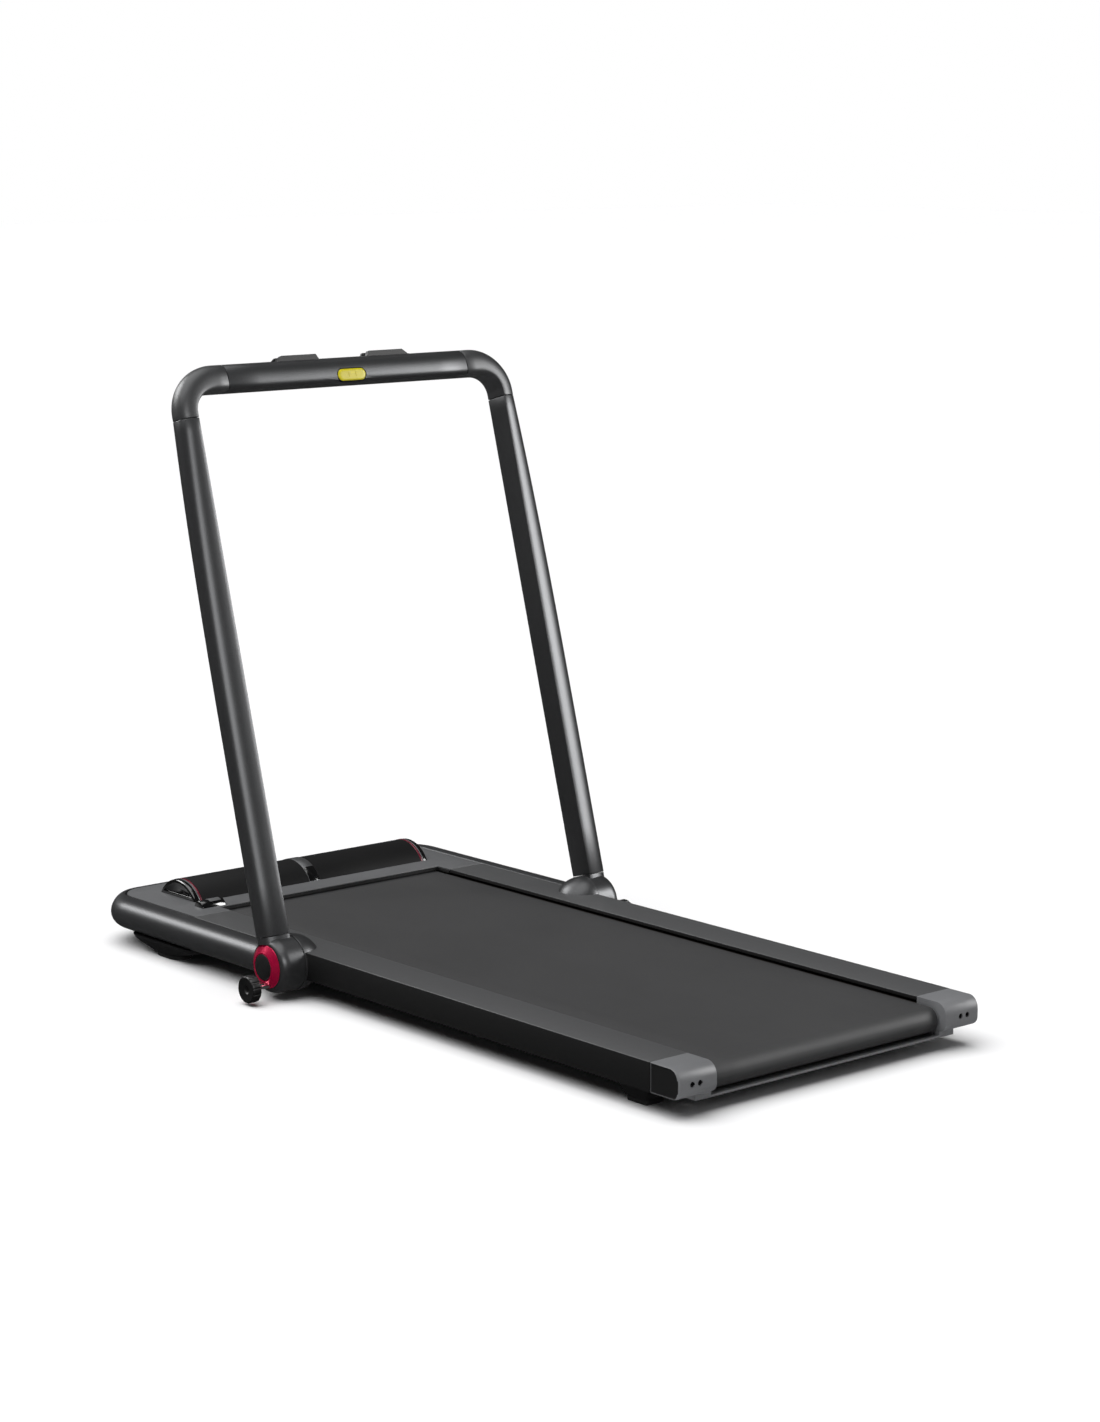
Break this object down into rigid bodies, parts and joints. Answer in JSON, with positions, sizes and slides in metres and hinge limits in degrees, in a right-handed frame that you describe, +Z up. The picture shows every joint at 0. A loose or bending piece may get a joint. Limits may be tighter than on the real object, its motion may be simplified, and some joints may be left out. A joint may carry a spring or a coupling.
{
  "type": "treadmill",
  "caption": "Slim folding home treadmill with a low belt deck, front motor hood and a leaning U-shaped handrail that folds back on side hinges.",
  "frame": {"origin": "on the floor under the centre of the whole machine box", "axes": "+X to the user's right, +Y towards the front the user faces, +Z up"},
  "size_m": [0.792, 1.408, 0.9782],
  "materials": {
    "rail": "anodised dark grey extrusion",
    "cap": "satin dark grey paint",
    "bolt": "blackened steel",
    "gunmetal": "satin gunmetal paint",
    "elbow": "satin gunmetal painted plastic",
    "hood": "lighter grey satin plastic",
    "roll": "matt black",
    "gloss_black": "glossy black",
    "silver": "silver plated plastic",
    "burgundy": "burgundy",
    "crimson": "crimson anodised",
    "black_plastic": "black moulded plastic",
    "rubber": "black rubber",
    "belt": "fine textured dark belt",
    "frame": "black powder coat",
    "board": "waxed board",
    "steel": "turned steel",
    "chrome": "bright plated",
    "motor_case": "dark enamel",
    "circuit": "green laminate with parts",
    "heat_sink": "extruded fins",
    "switch_red": "red rocker",
    "key_yellow": "bright yellow"
  },
  "bodies": {
    "root": {"left_side_rail": "rail", "right_side_rail": "rail", "left_rear_cap": "cap", "right_rear_cap": "cap", "rear_end_bolts": "bolt", "front_bumper": "gunmetal", "hood_plate": "hood", "hood_roll": "roll", "roll_end_caps": "gloss_black", "roll_silver_rings": "silver", "roll_red_rings": "burgundy", "roll_strap": "silver", "strap_window": "gloss_black", "start_switch_housing": "gloss_black", "belly_pan": "black_plastic", "front_foot_pods": "black_plastic", "rear_foot_blocks": "black_plastic", "foot_pads": "rubber", "front_crossmember": "frame", "middle_crossmembers": "frame", "rear_guard_bar": "frame", "running_board": "board", "board_cushions": "rubber", "walking_belt": "belt", "front_roller_axle": "steel", "rear_roller_axle": "steel", "motor": "motor_case", "motor_bracket": "frame", "drive_belt": "rubber", "controller_board": "circuit", "heat_sink": "heat_sink", "power_inlet": "black_plastic", "left_hinge_bracket": "gunmetal", "right_hinge_bracket": "gunmetal", "hinge_pins": "steel"},
    "handrail": {"left_hinge_housing": "gunmetal", "right_hinge_housing": "gunmetal", "hinge_rings": "crimson", "hinge_discs": "gunmetal", "left_arm": "gunmetal", "right_arm": "gunmetal", "left_elbow": "elbow", "right_elbow": "elbow", "crossbar": "gunmetal", "tablet_rest": "black_plastic", "key_socket": "black_plastic"},
    "safety_key": {"safety_key": "key_yellow"},
    "left_lock": {"left_lock_pin": "chrome"},
    "right_lock": {"right_lock_pin": "chrome"},
    "left_knob": {"left_knob": "gloss_black"},
    "right_knob": {"right_knob": "gloss_black"},
    "front_roller": {"front_roller": "steel", "front_roller_bearings": "steel"},
    "rear_roller": {"rear_roller": "steel", "rear_roller_bearings": "steel"},
    "motor_rotor": {"motor_pulley": "steel"},
    "left_wheel": {"left_transport_wheel": "rubber"},
    "right_wheel": {"right_transport_wheel": "rubber"},
    "start_button": {"start_button": "silver"},
    "power_switch": {"power_switch": "switch_red"}
  },
  "joints": [
    {"name": "handrail_fold", "type": "hinge", "parent": "root", "child": "handrail", "pos_m": [0, 0.192, 0.0535], "axis": [1, 0, 0], "range_deg": [0, 105.63]},
    {"name": "left_lock_slide", "type": "slide", "parent": "handrail", "child": "left_lock", "axis": [-1, 0, 0], "range_m": [0, 0.0045]},
    {"name": "left_knob_turn", "type": "hinge", "parent": "left_lock", "child": "left_knob", "pos_m": [-0.38, 0.18419, 0.02557], "axis": [-1, 0, 0], "range_deg": [0, 1080]},
    {"name": "right_lock_slide", "type": "slide", "parent": "handrail", "child": "right_lock", "axis": [1, 0, 0], "range_m": [0, 0.0045]},
    {"name": "right_knob_turn", "type": "hinge", "parent": "right_lock", "child": "right_knob", "pos_m": [0.38, 0.18419, 0.02557], "axis": [1, 0, 0], "range_deg": [0, 1080]},
    {"name": "safety_key_pull", "type": "slide", "parent": "handrail", "child": "safety_key", "axis": [0, -0.963, 0.2694], "range_m": [0, 0.012]},
    {"name": "front_roller_spin", "type": "hinge", "parent": "root", "child": "front_roller", "pos_m": [0, 0.5109, 0.048], "axis": [1, 0, 0], "continuous": true},
    {"name": "rear_roller_spin", "type": "hinge", "parent": "root", "child": "rear_roller", "pos_m": [0, -0.6736, 0.048], "axis": [1, 0, 0], "continuous": true},
    {"name": "motor_spin", "type": "hinge", "parent": "root", "child": "motor_rotor", "pos_m": [0, 0.5885, 0.058], "axis": [1, 0, 0], "continuous": true},
    {"name": "left_wheel_spin", "type": "hinge", "parent": "root", "child": "left_wheel", "pos_m": [-0.19, 0.65, 0.024], "axis": [1, 0, 0], "continuous": true},
    {"name": "right_wheel_spin", "type": "hinge", "parent": "root", "child": "right_wheel", "pos_m": [0.19, 0.65, 0.024], "axis": [1, 0, 0], "continuous": true},
    {"name": "start_button_press", "type": "slide", "parent": "root", "child": "start_button", "axis": [0, 0, -1], "range_m": [0, 0.003], "stiffness_N_per_m": 400, "springref_m": -0.001},
    {"name": "power_switch_rock", "type": "hinge", "parent": "root", "child": "power_switch", "pos_m": [0, 0.692, 0.05], "axis": [1, 0, 0], "range_deg": [0, 18]}
  ],
  "couplings": [
    {"joint": "left_lock_slide", "follows": "left_knob_turn", "m_per_rad": 0.00023873},
    {"joint": "right_lock_slide", "follows": "right_knob_turn", "m_per_rad": 0.00023873},
    {"joint": "rear_roller_spin", "follows": "front_roller_spin", "ratio": 1},
    {"joint": "motor_spin", "follows": "front_roller_spin", "ratio": 1.9091}
  ]
}
